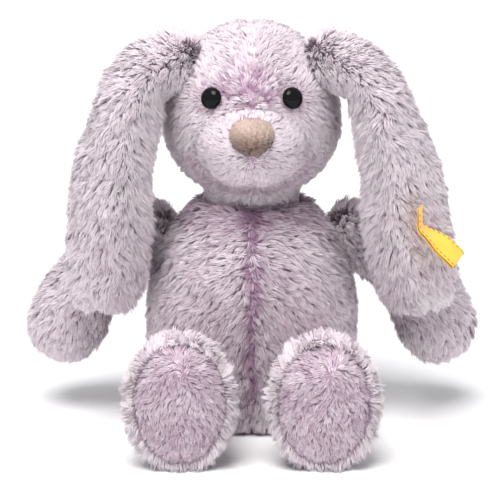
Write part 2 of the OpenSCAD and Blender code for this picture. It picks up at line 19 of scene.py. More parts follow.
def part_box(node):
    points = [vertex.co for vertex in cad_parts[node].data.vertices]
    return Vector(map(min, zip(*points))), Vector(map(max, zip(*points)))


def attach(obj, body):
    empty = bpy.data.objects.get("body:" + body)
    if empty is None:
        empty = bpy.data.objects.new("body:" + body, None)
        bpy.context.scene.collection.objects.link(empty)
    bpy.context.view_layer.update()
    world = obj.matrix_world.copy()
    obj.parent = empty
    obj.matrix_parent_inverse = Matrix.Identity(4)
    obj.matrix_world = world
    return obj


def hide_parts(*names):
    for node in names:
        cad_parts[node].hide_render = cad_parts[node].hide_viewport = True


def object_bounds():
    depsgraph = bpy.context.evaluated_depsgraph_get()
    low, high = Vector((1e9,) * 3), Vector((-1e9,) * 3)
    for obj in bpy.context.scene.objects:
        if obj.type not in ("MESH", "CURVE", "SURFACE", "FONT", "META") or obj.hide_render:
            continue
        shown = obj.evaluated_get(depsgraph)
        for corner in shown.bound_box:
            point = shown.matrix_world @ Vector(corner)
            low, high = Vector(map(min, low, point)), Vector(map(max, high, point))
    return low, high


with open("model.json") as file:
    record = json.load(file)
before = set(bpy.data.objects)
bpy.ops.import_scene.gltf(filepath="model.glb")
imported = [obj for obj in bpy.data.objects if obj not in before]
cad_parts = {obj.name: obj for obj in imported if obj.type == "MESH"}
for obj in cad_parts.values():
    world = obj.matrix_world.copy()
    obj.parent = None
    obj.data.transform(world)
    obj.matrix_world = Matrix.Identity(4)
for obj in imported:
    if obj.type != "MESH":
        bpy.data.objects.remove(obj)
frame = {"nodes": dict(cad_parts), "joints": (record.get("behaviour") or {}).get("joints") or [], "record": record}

cad_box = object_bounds()
low, high = (Vector(corner) for corner in cad_box)
middle = (low + high) / 2
mm = 0.001
print("bunny is", [round(s / mm) for s in high - low], "mm wide, deep and high")

# %% [markdown]
# ## Where things are
# A node's box gives its place at rest. A few named places steer everything that follows: the
# nose, the eyes and the mouth are set here, and each limb's own places where it gets its pile.

# %% Named places
def box_middle(node):
    lo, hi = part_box(node)
    return (np.array(lo) + np.array(hi)) / 2


def joint_place(name):
    return np.array(next(j["pos_m"] for j in frame["joints"] if j["name"] == name))


SIDES = ("left", "right")
nose_low, nose_high = (np.array(c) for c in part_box("nose_cover"))
nose = (nose_low + nose_high) / 2
muzzle_low, muzzle_high = (np.array(c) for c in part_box("muzzle_left"))
eyes = {side: box_middle("eye_" + side) for side in SIDES}
mouth = np.array([0, muzzle_low[1] + 4 * mm, nose_low[2] - 3 * mm])
print("nose at", (nose / mm).round(1), "mouth at", (mouth / mm).round(1))

# %% [markdown]
# ## Colours and the pile material
# Pile fabric is pale at the tips of its hairs and deep at their roots, so the eye reads a
# parting as a dark line. The deep root colour is partly the pile's own dye and partly painted
# shade in the depth of the pile. A strand carries two numbers in its UV map: across the map
# lies its own tone, and up the map lies how far along the strand a point is. One node group
# turns the two numbers into a colour, and every pile material uses it with its own colours. A
# paler strand also gets a paler root, with less painted shade, so that the pale parts of the
# toy stay calm.

# %% Colour group for pile
ALONG_SHARE = 0.3  # the part of the map's height that strands use
ROOT_FADE = 0.55   # how much of its tip's paleness a root takes on
STRAND_MAP = "OFBake"


def new_group(name, inputs, outputs):
    group = bpy.data.node_groups.new(name, "ShaderNodeTree")
    for kind, title, value in inputs:
        socket = group.interface.new_socket(title, in_out="INPUT", socket_type=kind)
        socket.default_value = value
    for kind, title in outputs:
        group.interface.new_socket(title, in_out="OUTPUT", socket_type=kind)
    nodes = group.nodes
    return group, nodes.new("NodeGroupInput"), nodes.new("NodeGroupOutput")


def pile_colour_group():
    colour, number = "NodeSocketColor", "NodeSocketFloat"
    group, given, result = new_group(
        "pile_colour",
        [
            (colour, "Root", (0.2, 0.1, 0.2, 1)),
            (colour, "Deep tip", (0.5, 0.4, 0.5, 1)),
            (colour, "Pale tip", (0.8, 0.7, 0.8, 1)),
            (number, "Root reach", 0.6),
        ],
        [(colour, "Colour")],
    )
    nodes, link = group.nodes, group.links.new
    strand = nodes.new("ShaderNodeUVMap")
    strand.uv_map = STRAND_MAP
    split = nodes.new("ShaderNodeSeparateXYZ")
    link(strand.outputs["UV"], split.inputs[0])
    tip = nodes.new("ShaderNodeMix")
    tip.data_type = "RGBA"
    link(split.outputs["X"], tip.inputs["Factor"])
    link(given.outputs["Deep tip"], tip.inputs["A"])
    link(given.outputs["Pale tip"], tip.inputs["B"])
    along = nodes.new("ShaderNodeMapRange")
    along.interpolation_type = "SMOOTHSTEP"
    along.inputs["From Min"].default_value = 0.0
    reach = nodes.new("ShaderNodeMath")
    reach.operation = "MULTIPLY"
    reach.inputs[1].default_value = ALONG_SHARE
    link(given.outputs["Root reach"], reach.inputs[0])
    link(reach.outputs[0], along.inputs["From Max"])
    link(split.outputs["Y"], along.inputs["Value"])
    fade = nodes.new("ShaderNodeMath")
    fade.operation = "MULTIPLY"
    fade.inputs[1].default_value = ROOT_FADE
    link(split.outputs["X"], fade.inputs[0])
    # Painted shade at the root: a paler strand takes on more of its pale tip there, so its root gets less of the
    # painted shade.
    own_root = nodes.new("ShaderNodeMix")
    own_root.data_type = "RGBA"
    link(fade.outputs[0], own_root.inputs["Factor"])
    link(given.outputs["Root"], own_root.inputs["A"])
    link(given.outputs["Pale tip"], own_root.inputs["B"])
    whole = nodes.new("ShaderNodeMix")
    whole.data_type = "RGBA"
    link(along.outputs["Result"], whole.inputs["Factor"])
    link(own_root.outputs["Result"], whole.inputs["A"])
    link(tip.outputs["Result"], whole.inputs["B"])
    link(whole.outputs["Result"], result.inputs["Colour"])
    return group


pile_colour = pile_colour_group()


def plain_material(name, roughness, sheen=0.0, sheen_tint=(1, 1, 1, 1)):
    material = bpy.data.materials.new(name)
    material.use_nodes = True
    shader = material.node_tree.nodes["Principled BSDF"]
    shader.inputs["Roughness"].default_value = roughness
    shader.inputs["Sheen Weight"].default_value = sheen
    shader.inputs["Sheen Tint"].default_value = sheen_tint
    return material, shader


def pile_material(name, root, deep, pale, reach, sheen):
    material, shader = plain_material(name, 0.8, sheen, (1, 0.95, 1, 1))
    shader.inputs["Specular IOR Level"].default_value = 0.25
    colour = material.node_tree.nodes.new("ShaderNodeGroup")
    colour.node_tree = pile_colour
    colour.inputs["Root"].default_value = (*root, 1)
    colour.inputs["Deep tip"].default_value = (*deep, 1)
    colour.inputs["Pale tip"].default_value = (*pale, 1)
    colour.inputs["Root reach"].default_value = reach
    material.node_tree.links.new(colour.outputs["Colour"], shader.inputs["Base Color"])
    return material


# In both pile materials the first colour, the root, is partly dye and partly painted shade in the depth of the
# pile.
lilac_pile = pile_material(
    "lilac_pile", (0.36, 0.17, 0.31), (0.42, 0.24, 0.37), (0.93, 0.84, 0.885), 0.55, 0.3
)
nose_nap = pile_material(
    "nose_nap", (0.20, 0.12, 0.10), (0.28, 0.19, 0.16), (0.70, 0.54, 0.46), 0.8, 0.2
)
print("pile materials:", lilac_pile.name, nose_nap.name)

# %% [markdown]
# ## Cloth under the pile
# Between two hairs the knitted backing shows. It could be one flat colour, but a fine
# knit with lighter and darker stitches reads as cloth in a parting. A group makes the knit from
# two crossing waves and a little noise, and each cloth sets its scale and its two colours.

# %% Knit group and cloth materials
def knit_group():
    colour, number = "NodeSocketColor", "NodeSocketFloat"
    group, given, result = new_group(
        "knit",
        [
            (colour, "Dark", (0.2, 0.2, 0.2, 1)),
            (colour, "Light", (0.6, 0.6, 0.6, 1)),
            (number, "Stitches per metre", 900.0),
            (number, "Depth", 0.3),
        ],
        [(colour, "Colour"), ("NodeSocketVector", "Normal")],
    )
    nodes, link = group.nodes, group.links.new
    place = nodes.new("ShaderNodeTexCoord")
    weave = []
    for direction in ("X", "Z"):
        wave = nodes.new("ShaderNodeTexWave")
        wave.bands_direction = direction
        wave.inputs["Distortion"].default_value = 1.2
        link(place.outputs["Object"], wave.inputs["Vector"])
        link(given.outputs["Stitches per metre"], wave.inputs["Scale"])
        weave.append(wave)
    stitch = nodes.new("ShaderNodeMath")
    stitch.operation = "MULTIPLY"
    link(weave[0].outputs["Fac"], stitch.inputs[0])
    link(weave[1].outputs["Fac"], stitch.inputs[1])
    blotch = nodes.new("ShaderNodeTexNoise")
    blotch.inputs["Scale"].default_value = 140.0
    link(place.outputs["Object"], blotch.inputs["Vector"])
    amount = nodes.new("ShaderNodeMath")
    amount.operation = "MULTIPLY_ADD"
    amount.inputs[1].default_value = 0.6
    link(stitch.outputs[0], amount.inputs[0])
    link(blotch.outputs["Fac"], amount.inputs[2])
    shade = nodes.new("ShaderNodeMix")
    shade.data_type = "RGBA"
    link(amount.outputs[0], shade.inputs["Factor"])
    link(given.outputs["Dark"], shade.inputs["A"])
    link(given.outputs["Light"], shade.inputs["B"])
    bump = nodes.new("ShaderNodeBump")
    bump.inputs["Distance"].default_value = 0.0003
    link(given.outputs["Depth"], bump.inputs["Strength"])
    link(stitch.outputs[0], bump.inputs["Height"])
    link(shade.outputs["Result"], result.inputs["Colour"])
    link(bump.outputs["Normal"], result.inputs["Normal"])
    return group


knit = knit_group()


def cloth_material(name, dark, light, stitches, depth=0.3, roughness=0.85, sheen=0.15):
    material, shader = plain_material(name, roughness, sheen)
    weave = material.node_tree.nodes.new("ShaderNodeGroup")
    weave.node_tree = knit
    weave.inputs["Dark"].default_value = (*dark, 1)
    weave.inputs["Light"].default_value = (*light, 1)
    weave.inputs["Stitches per metre"].default_value = stitches
    weave.inputs["Depth"].default_value = depth
    link = material.node_tree.links.new
    link(weave.outputs["Colour"], shader.inputs["Base Color"])
    link(weave.outputs["Normal"], shader.inputs["Normal"])
    return material


# The backing's deep purple is partly the cloth's own colour and partly painted shade, so that a parting between
# hairs reads as deep.
backing = cloth_material("backing_cloth", (0.30, 0.16, 0.27), (0.56, 0.38, 0.51), 900)
nose_cloth = cloth_material("nose_cloth", (0.30, 0.18, 0.13), (0.62, 0.45, 0.35), 1200)
wadding = cloth_material("wadding", (0.80, 0.79, 0.76), (0.95, 0.94, 0.92), 300, 0.6)
pouch_cloth = cloth_material("pouch_cloth", (0.70, 0.67, 0.60), (0.88, 0.86, 0.80), 1500)
thread = cloth_material("sewing_thread", (0.30, 0.18, 0.28), (0.58, 0.44, 0.54), 2600, 0.8)

# %% [markdown]
# ## Sewing and stuffing the skins
# A skin is what several panels make when they are sewn shut and stuffed. The panels could be
# smoothed where they are, but real stuffing pushes cloth out between its seams. So
# the panels and their wads are merged into one closed mesh, drawn in a little, held at the
# seams, and blown up with a short cloth simulation. The seams stay low and the panels crown.

# %% Merge solids into one closed skin
def solids_of(nodes):
    merged = bmesh.new()
    for name in nodes:
        merged.from_mesh(frame["nodes"][name].data)
    return merged


def closed_skin(name, nodes, voxel):
    mesh = bpy.data.meshes.new(name)
    merged = solids_of(nodes)
    merged.to_mesh(mesh)
    merged.free()
    skin = bpy.data.objects.new(name, mesh)
    bpy.context.scene.collection.objects.link(skin)
    remesh = skin.modifiers.new("voxels", "REMESH")
    remesh.mode = "VOXEL"
    remesh.voxel_size = voxel
    relax = skin.modifiers.new("relax", "SMOOTH")
    relax.factor = 0.5
    relax.iterations = 3
    bake_modifiers(skin)
    keep_outer_part(skin)
    return skin


def bake_modifiers(piece):
    """Writes what the modifiers make into the piece's own mesh."""
    graph = bpy.context.evaluated_depsgraph_get()
    made = bpy.data.meshes.new_from_object(piece.evaluated_get(graph))
    piece.modifiers.clear()
    old = piece.data
    piece.data = made
    bpy.data.meshes.remove(old)
    made.name = piece.name


def keep_outer_part(piece):
    """Drops closed pockets that are left inside a skin."""
    shape = bmesh.new()
    shape.from_mesh(piece.data)
    shape.verts.ensure_lookup_table()
    unseen, parts = set(shape.verts), []
    while unseen:
        front, part = [unseen.pop()], []
        while front:
            vert = front.pop()
            part.append(vert)
            for edge in vert.link_edges:
                other = edge.other_vert(vert)
                if other in unseen:
                    unseen.remove(other)
                    front.append(other)
        parts.append(part)
    parts.sort(key=len)
    for part in parts[:-1]:
        bmesh.ops.delete(shape, geom=part, context="VERTS")
    shape.to_mesh(piece.data)
    shape.free()


# %% Find the seams between panels
def points_of(mesh):
    flat = np.empty(len(mesh.vertices) * 3)
    mesh.vertices.foreach_get("co", flat)
    return flat.reshape(-1, 3)


def tree_of(points):
    tree = kdtree.KDTree(len(points))
    for index, point in enumerate(points):
        tree.insert(point, index)
    tree.balance()
    return tree


def seam_points(panels, touch=0.05 * mm):
    """Points where two of the panels meet edge to edge."""
    clouds = {name: points_of(frame["nodes"][name].data) for name in panels}
    trees = {name: tree_of(cloud) for name, cloud in clouds.items()}
    found = []
    for index, name in enumerate(panels):
        for other in panels[index + 1:]:
            found += [p for p in clouds[name] if trees[other].find(p)[2] < touch]
    return np.array(found).reshape(-1, 3)


def edge_on(panels, under, reach=0.6 * mm):
    """Points of the panels that lie on the pieces under them, such as a muzzle's edge."""
    trees = []
    for name in under:
        node = bmesh.new()
        node.from_mesh(frame["nodes"][name].data)
        trees.append(BVHTree.FromBMesh(node))
        node.free()
    found = []
    for name in panels:
        for point in points_of(frame["nodes"][name].data):
            if min(tree.find_nearest(point)[3] or 1 for tree in trees) < reach:
                found.append(point)
    return np.array(found).reshape(-1, 3)


# %% Stuff a skin with a short simulation
SEAM_HOLD = 3.5 * mm      # how far a seam holds the cloth round it
SEAM_DIP = 1.0 * mm       # how far a seam lies below the cloth round it
STUFF_PRESSURE = 4.0
STUFF_FRAMES = 14


def stuff(skin, seams, draw_in, most):
    """Holds the skin at its seams, blows it up, and keeps each point within `most` of its start."""
    mesh = skin.data
    start = points_of(mesh)
    normals = np.empty(len(mesh.vertices) * 3)
    mesh.vertex_normals.foreach_get("vector", normals)
    normals = normals.reshape(-1, 3)
    far = np.array([seams.find(p)[2] for p in start])
    hold = np.clip(1.6 - far / SEAM_HOLD, 0, 1)
    valley = np.exp(-((far / SEAM_HOLD) ** 2))
    start = start - normals * (draw_in + SEAM_DIP * valley)[:, None]
    mesh.vertices.foreach_set("co", start.ravel())
    group = skin.vertex_groups.new(name="sewn")
    for index in np.nonzero(hold > 0.02)[0]:
        group.add([int(index)], float(hold[index]), "REPLACE")
    cloth = skin.modifiers.new("stuffing", "CLOTH")
    cloth.settings.quality = 4
    cloth.settings.mass = 0.2
    cloth.settings.vertex_group_mass = "sewn"
    cloth.settings.use_pressure = True
    cloth.settings.uniform_pressure_force = STUFF_PRESSURE
    cloth.settings.effector_weights.gravity = 0.0
    cloth.collision_settings.use_collision = False
    cloth.point_cache.frame_start = 1
    cloth.point_cache.frame_end = STUFF_FRAMES
    for step in range(1, STUFF_FRAMES + 1):
        bpy.context.scene.frame_set(step)
    graph = bpy.context.evaluated_depsgraph_get()
    blown = bpy.data.meshes.new_from_object(skin.evaluated_get(graph))
    moved = points_of(blown) - start
    bpy.data.meshes.remove(blown)
    skin.modifiers.clear()
    bpy.context.scene.frame_set(1)
    size = np.linalg.norm(moved, axis=1, keepdims=True)
    moved *= np.minimum(1, most / np.maximum(size, 1e-9))
    mesh.vertices.foreach_set("co", (start + moved).ravel())
    mesh.update()
    print(f"{skin.name}: stuffed, moved up to {size.max() / mm:.1f} mm, kept to {most / mm:.1f}")


def finish_skin(skin, body, nodes):
    skin.modifiers.new("finer", "SUBSURF").levels = 1
    bake_modifiers(skin)
    for polygon in skin.data.polygons:
        polygon.use_smooth = True
    skin.data.materials.append(backing)
    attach(skin, body)
    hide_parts(*nodes)


# %% Make the nine skins
def named(body, *starts):
    return [n for n in frame["record"]["behaviour"]["bodies"][body] if n.startswith(starts)]


def panels_in(nodes):
    soft = ("stuffing", "wadding", "pellets", "padding")
    return [n for n in nodes if not n.endswith(soft) and "pouch" not in n and "washer" not in n]


skins, skin_seams = {}, {}


def make_skin(name, body, nodes, inside, voxel, draw_in, most, extra_seams=()):
    skin = closed_skin(name, nodes + inside, voxel)
    seams = [seam_points(panels_in(nodes)), *extra_seams]
    seam_tree = tree_of(np.concatenate(seams))
    stuff(skin, seam_tree, draw_in, most)
    finish_skin(skin, body, nodes)
    skins[name], skin_seams[name] = skin, seam_tree
    print(f"{name}: {len(skin.data.vertices)} points")
    return skin


head_panels = named("head", "head_", "muzzle_")
muzzle_edge = edge_on(["muzzle_left", "muzzle_right"], ["head_left", "head_right"])
make_skin(
    "head_skin", "head", head_panels, named("head", "eye_washer"),
    3.0 * mm, 0.8 * mm, 1.6 * mm, [muzzle_edge],
)
torso_panels = named("torso", "torso_")
make_skin(
    "torso_skin", "torso", torso_panels, named("torso", "pouch_"),
    3.5 * mm, 0.8 * mm, 1.8 * mm,
)
make_skin("tail_skin", "torso", named("torso", "tail_"), [], 2.5 * mm, 0.5 * mm, 1 * mm,
          [np.array([box_middle("tail_cover") - [0, 12 * mm, 0]])])
for side in SIDES:
    for limb, most, fill in (("ear", 1.5, 0.4), ("arm", 1.8, 0.8), ("leg", 1.8, 0.85)):
        body = f"{limb}_{side}"
        make_skin(
            f"{body}_skin", body, named(body, limb + "_" + side), [],
            2.6 * mm, 0.8 * mm, most * mm,
        )

# %% [markdown]
# ## Growing the pile
# The pile is what makes this toy. Particle hair would be quick, but it isn't a mesh and is lost
# when the model is exported. So every strand is a thin tapering strip with its own root on
# the skin. Strands of one clump lean together and meet at their tips, as brushed pile does.

# %% Helpers for directions and smooth noise
def unit(vectors):
    return vectors / np.maximum(np.linalg.norm(vectors, axis=-1, keepdims=True), 1e-9)


def ripple(points, size, seed):
    """Smooth noise of about -1 to 1 whose bumps are `size` apart."""
    waves = np.random.default_rng(seed)
    total = np.zeros(len(points))
    for _ in range(6):
        direction = unit(waves.normal(size=3)) * 2 * math.pi / size
        total += np.sin(points @ (direction * waves.uniform(0.6, 1.5)) + waves.uniform(0, 6))
    return total / 2.5


def ease(values, start, end):
    t = np.clip((values - start) / (end - start), 0, 1)
    return t * t * (3 - 2 * t)


# %% Scatter roots evenly over a skin
def scatter(skin, per_mm2, draws):
    mesh = skin.data
    mesh.calc_loop_triangles()
    corners = np.empty(len(mesh.loop_triangles) * 3, dtype=np.int32)
    mesh.loop_triangles.foreach_get("vertices", corners)
    corners = corners.reshape(-1, 3)
    normals = np.empty(len(mesh.vertices) * 3)
    mesh.vertex_normals.foreach_get("vector", normals)
    normals = normals.reshape(-1, 3)
    a, b, c = (points_of(mesh)[corners[:, k]] for k in range(3))
    areas = np.cumsum(np.linalg.norm(np.cross(b - a, c - a), axis=1) / 2)
    count = int(areas[-1] / mm**2 * per_mm2)
    picks = (np.arange(count) + draws.random(count)) / count * areas[-1]
    face = np.minimum(np.searchsorted(areas, picks), len(areas) - 1)
    u, v = draws.random((2, count))
    over = u + v > 1
    u[over], v[over] = 1 - u[over], 1 - v[over]
    weights = np.stack([1 - u - v, u, v], axis=1)
    root = sum(weights[:, [k]] * part[face] for k, part in enumerate((a, b, c)))
    normal = unit(sum(weights[:, [k]] * normals[corners[face, k]] for k in range(3)))
    return root, normal


# %% Shape the strands
STEPS = np.array([0.0, 0.35, 0.7, 1.0])  # the four points along a strand
BENDS = (24, 2, -14)                     # degrees added to the rise on each stretch
WIDTHS = np.array([0.8, 1.0, 0.7])       # of the three pairs, as shares of the strand's width
ROOT_DEPTH = 0.2 * mm
STRIP = np.array([[0, 1, 3], [0, 3, 2], [2, 3, 5], [2, 5, 4], [4, 5, 6]])


def strand_lines(root, normal, lay, length, rise):
    """Four points per strand: it stands up at its root and bends over along the lay."""
    line = [root - ROOT_DEPTH * normal]
    for step, bend in zip(np.diff(STEPS), BENDS):
        lift = np.radians(rise + bend)[:, None]
        heading = np.cos(lift) * lay + np.sin(lift) * normal
        line.append(line[-1] + (length * step)[:, None] * heading)
    return np.stack(line, axis=1)


def draw_together(line, clump, pull):
    """Pulls the strands of a clump towards the middle of their tips."""
    tips = line[:, -1]
    count = np.maximum(np.bincount(clump), 1)
    middle_tip = np.stack([np.bincount(clump, tips[:, k]) / count for k in range(3)], axis=1)
    offset = middle_tip[clump] - tips
    return line + (STEPS**1.5)[None, :, None] * pull * offset[:, None, :]


def strips(line, normal, width, draws):
    """Seven points per strand: three pairs and the tip."""
    along = unit(line[:, -1] - line[:, 0])
    side = unit(np.cross(along, normal))
    roll = draws.normal(0, 0.35, (len(line), 1))
    side = unit(np.cos(roll) * side + np.sin(roll) * np.cross(side, along))
    reach = (width[:, None] * WIDTHS)[:, :, None] * side[:, None, :] / 2
    pairs = np.stack([line[:, :3] - reach, line[:, :3] + reach], axis=2)
    return np.concatenate([pairs.reshape(len(line), 6, 3), line[:, 3:]], axis=1)


# %% Turn strands into one mesh piece
def strand_mesh(name, points, normal, tone, material):
    count = len(points)
    mesh = bpy.data.meshes.new(name)
    mesh.vertices.add(7 * count)
    mesh.vertices.foreach_set("co", points.astype(np.float32).ravel())
    corners = (STRIP[None] + 7 * np.arange(count)[:, None, None]).reshape(-1)
    mesh.loops.add(len(corners))
    mesh.loops.foreach_set("vertex_index", corners.astype(np.int32))
    mesh.polygons.add(5 * count)
    mesh.polygons.foreach_set("loop_start", np.arange(0, len(corners), 3, dtype=np.int32))
    mesh.update(calc_edges=True)
    mesh.polygons.foreach_set("use_smooth", np.ones(5 * count, dtype=bool))
    along = np.array([0, 0, 1, 1, 2, 2, 3])
    uv = np.stack(
        [np.repeat(tone, 7), np.tile(STEPS[along] * ALONG_SHARE, count)], axis=1
    )
    layer = mesh.uv_layers.new(name=STRAND_MAP)
    layer.data.foreach_set("uv", uv[corners].astype(np.float32).ravel())
    facing = np.repeat(normal, 7, axis=0).astype(np.float32)
    mesh.normals_split_custom_set_from_vertices(facing)
    mesh.materials.append(material)
    piece = bpy.data.objects.new(name, mesh)
    bpy.context.scene.collection.objects.link(piece)
    return piece


# %% Grow the pile of one skin
PILE_WIDTH = 0.46 * mm
PILE_DENSITY = 3.0       # strands per square millimetre
CLUMP_DENSITY = 0.16     # clumps per square millimetre
CLUMP_PULL = 0.38        # how far the tips of a clump draw together
MOST_STRANDS = 39000     # in one piece
FLOOR_GAP = 0.3 * mm
CROWDED = 5 * mm         # pile nearer than this to another skin is shorter
TOUCHING = 0.9 * mm      # and nearer than this there is none
SWAY_SIZE = 18 * mm      # size of the patches whose pile turns the same way
LEAST_RISE, MOST_RISE = 8, 75   # degrees


def nearest_in(tree, points):
    return np.array([tree.find(p)[1:] for p in points])


def grow(name, body, skin, lay_of, seed, density=PILE_DENSITY, clumps=CLUMP_DENSITY,
         width=PILE_WIDTH, near=(), material=None):
    draws = np.random.default_rng(seed)
    root, normal = scatter(skin, density, draws)
    made = lay_of(root, normal)
    length, keep = made["length"], made.get("keep", np.ones(len(root), bool))
    for other in near:
        tree = BVHTree.FromObject(other, bpy.context.evaluated_depsgraph_get())
        far = np.array([tree.find_nearest(p)[3] for p in root])
        length = length * np.clip(far / CROWDED, 0.5, 1)
        keep = keep & (far > TOUCHING)
    keep = keep & (root[:, 2] > 1.0 * mm)
    chosen = np.nonzero(keep)[0]
    root, normal, length = root[chosen], normal[chosen], length[chosen]
    lay, rise, tone = (made[key][chosen] for key in ("lay", "rise", "tone"))
    middles, _ = scatter(skin, clumps, draws)
    clump = nearest_in(tree_of(middles), root)[:, 0].astype(int)
    turn = 0.3 * ripple(root, SWAY_SIZE, seed + 1) + draws.normal(0, 0.2, len(root))
    turn = (turn + draws.normal(0, 0.28, len(middles))[clump])[:, None]
    lay = unit(lay - normal * np.sum(lay * normal, axis=1, keepdims=True))
    lay = np.cos(turn) * lay + np.sin(turn) * np.cross(normal, lay)
    length = length * draws.uniform(0.75, 1.1, len(root))
    length = length * draws.uniform(0.8, 1.15, len(middles))[clump]
    rise = rise + draws.normal(0, 8, len(root)) + draws.normal(0, 6, len(middles))[clump]
    rise = np.clip(rise, LEAST_RISE, MOST_RISE)
    line = draw_together(strand_lines(root, normal, lay, length, rise), clump, CLUMP_PULL)
    line[:, :, 2] = np.maximum(line[:, :, 2], FLOOR_GAP)
    mottle = made.get("mottle", np.full(len(keep), 0.1))[chosen]
    tone = tone + draws.normal(0, 0.1, len(root))
    tone = tone + mottle * draws.normal(0, 1, len(middles))[clump]
    tone = np.clip(tone, 0.02, 0.98)
    face = unit(made["face"][chosen]) if "face" in made else normal
    points = strips(line, face, width * draws.uniform(0.75, 1.15, len(root)), draws)
    shade = unit(face + 0.2 * lay + draws.normal(0, 0.12, normal.shape))
    parts = math.ceil(len(root) / MOST_STRANDS)
    order = np.argsort(root[:, 1], kind="stable")
    pieces = []
    for number, share in enumerate(np.array_split(order, parts), 1):
        piece = strand_mesh(
            name if parts == 1 else f"{name}_{number}",
            points[share], shade[share], tone[share], material or lilac_pile,
        )
        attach(piece, body)
        pieces.append(piece)
    print(f"{name}: {len(root)} strands in {parts} pieces")
    return pieces


# %% [markdown]
# ## How the pile lies
# Each part of the toy was cut with its pile running its own way. A function for each part
# gives the lay, the length, how far the hair stands up, and the tone at every root. Near
# a seam the hair is shorter, so its dark roots draw the seam as a line. Round the soles and at the
# roots of the ears and arms it stands out as a fringe, with its strands turned to the front.

# %% Seams shorten the pile
def seam_factor(name, root, shortest=0.45, reach=4.0 * mm):
    far = nearest_in(skin_seams[name], root)[:, 1]
    return shortest + (1 - shortest) * ease(far, 0.5 * mm, reach)


def of(size, x, y, z):
    """Vectors from three values that may be numbers or arrays."""
    return np.stack([np.broadcast_to(v, size) for v in (x, y, z)], axis=-1).astype(float)


# %% Lay on the torso and the tail
def torso_lay(root, normal):
    x, y, z = root.T
    side = np.tanh(x / (2.5 * mm))
    high = ease(z, 0.02, 0.115)
    steep = np.radians(82 - 52 * high)
    front = of(len(x), side * np.cos(steep), 0, -np.sin(steep))
    back = of(len(x), 0.25 * side, 0, -1)
    facing = ease(-normal[:, 1], -0.3, 0.3)[:, None]
    seam = np.exp(-((x / (4 * mm)) ** 2))
    # Painted shadow: the tone drops at the top of the chest, under the chin, where the head's shadow falls.
    painted_chin_shadow = ease(z, 0.108, 0.122)
    return {
        "lay": facing * front + (1 - facing) * back,
        "length": 7.5 * mm * seam_factor("torso_skin", root, 0.4, 5 * mm),
        "rise": np.full(len(x), 34.0),
        "tone": 0.82 + 0.08 * ripple(root, 30 * mm, 3) - 0.62 * seam - 0.35 * painted_chin_shadow,
        "mottle": 0.12 + 0.15 * seam,
    }


def tail_lay(root, normal):
    out = root - box_middle("tail_cover")
    return {
        "lay": of(len(root), out[:, 0] * 20, 0.5, -0.8 + out[:, 2] * 20),
        "length": np.full(len(root), 7.0 * mm),
        "rise": np.full(len(root), 38.0),
        "tone": np.full(len(root), 0.8),
    }


# %% Lay on the head and the muzzle
muzzle_middle = np.array([0, 0, (muzzle_low[2] + muzzle_high[2]) / 2])
muzzle_half = np.array([muzzle_high[0], (muzzle_high[2] - muzzle_low[2]) / 2])


def head_lay(root, normal):
    x, y, z = root.T
    side = np.tanh(x / (3 * mm))
    eye_level = eyes["left"][2]
    above = ease(z, eye_level - 10 * mm, eye_level + 8 * mm)
    brow = of(len(x), 0.9 * side, 0.3, 0.75)
    cheek = of(len(x), 0.75 * side, 0.1, -0.7)
    face_lay = above[:, None] * brow + (1 - above)[:, None] * cheek
    crown = of(len(x), 0.5 * side, 0.9, -0.1)
    top = ease(normal[:, 2], 0.6, 0.9)[:, None]
    face_lay = top * crown + (1 - top) * face_lay
    facing = ease(-normal[:, 1], -0.35, 0.25)[:, None]
    lay = facing * face_lay + (1 - facing) * of(len(x), 0.3 * side, 0.2, -1)
    in_muzzle = np.hypot(x / muzzle_half[0], (z - muzzle_middle[2]) / muzzle_half[1])
    on_muzzle = (in_muzzle < 1.0) & (normal[:, 1] < 0.4) & (y < eyes["left"][1] + 14 * mm)
    lay[on_muzzle] = (root - mouth)[on_muzzle] * 100
    between = np.exp(-((x / (14 * mm)) ** 2) - ((z - eye_level - 5 * mm) / (13 * mm)) ** 2)
    between *= facing[:, 0]
    to_eye = np.minimum(*(np.linalg.norm(root - eyes[s], axis=1) for s in SIDES))
    seam = seam_factor("head_skin", root, 0.5)
    centre_seam = 0.55 + 0.45 * ease(np.abs(x), 0.5 * mm, 3.5 * mm)
    length = 6.0 * mm * np.where(on_muzzle, 0.85 * centre_seam, seam)
    length *= (1 - 0.4 * between) * (0.45 + 0.55 * ease(to_eye, 6 * mm, 13 * mm))
    tone = 0.94 - 0.8 * between + 0.05 * ripple(root, 25 * mm, 4)
    tone -= 0.3 * (1 - ease(to_eye, 7 * mm, 12 * mm))
    # Painted shade along the muzzle's lower edge: the pile just below the edge and the muzzle's own lowest band
    # are darker, where the muzzle's shade falls.
    painted_shade_below_muzzle = np.exp(-(((in_muzzle - 1.06) / 0.09) ** 2)) * (z < mouth[2]) * facing[:, 0]
    muzzle_tone = 0.95 - 0.2 * (in_muzzle > 0.85) * (z < mouth[2])
    tone = np.where(on_muzzle, muzzle_tone, tone - 0.45 * painted_shade_below_muzzle)
    to_nose = np.hypot((x - nose[0]) / nose_high[0], (z - nose[2]) / (nose_high[2] - nose[2]))
    return {
        "lay": lay,
        "length": length,
        "rise": np.where(on_muzzle, 22.0, 26.0 + 16 * between),
        "tone": tone,
        "mottle": 0.08 + 0.4 * between,
        "keep": (to_eye > 5.6 * mm) & ~(on_muzzle & (to_nose < 0.92) & (z > mouth[2] - 4 * mm)),
    }


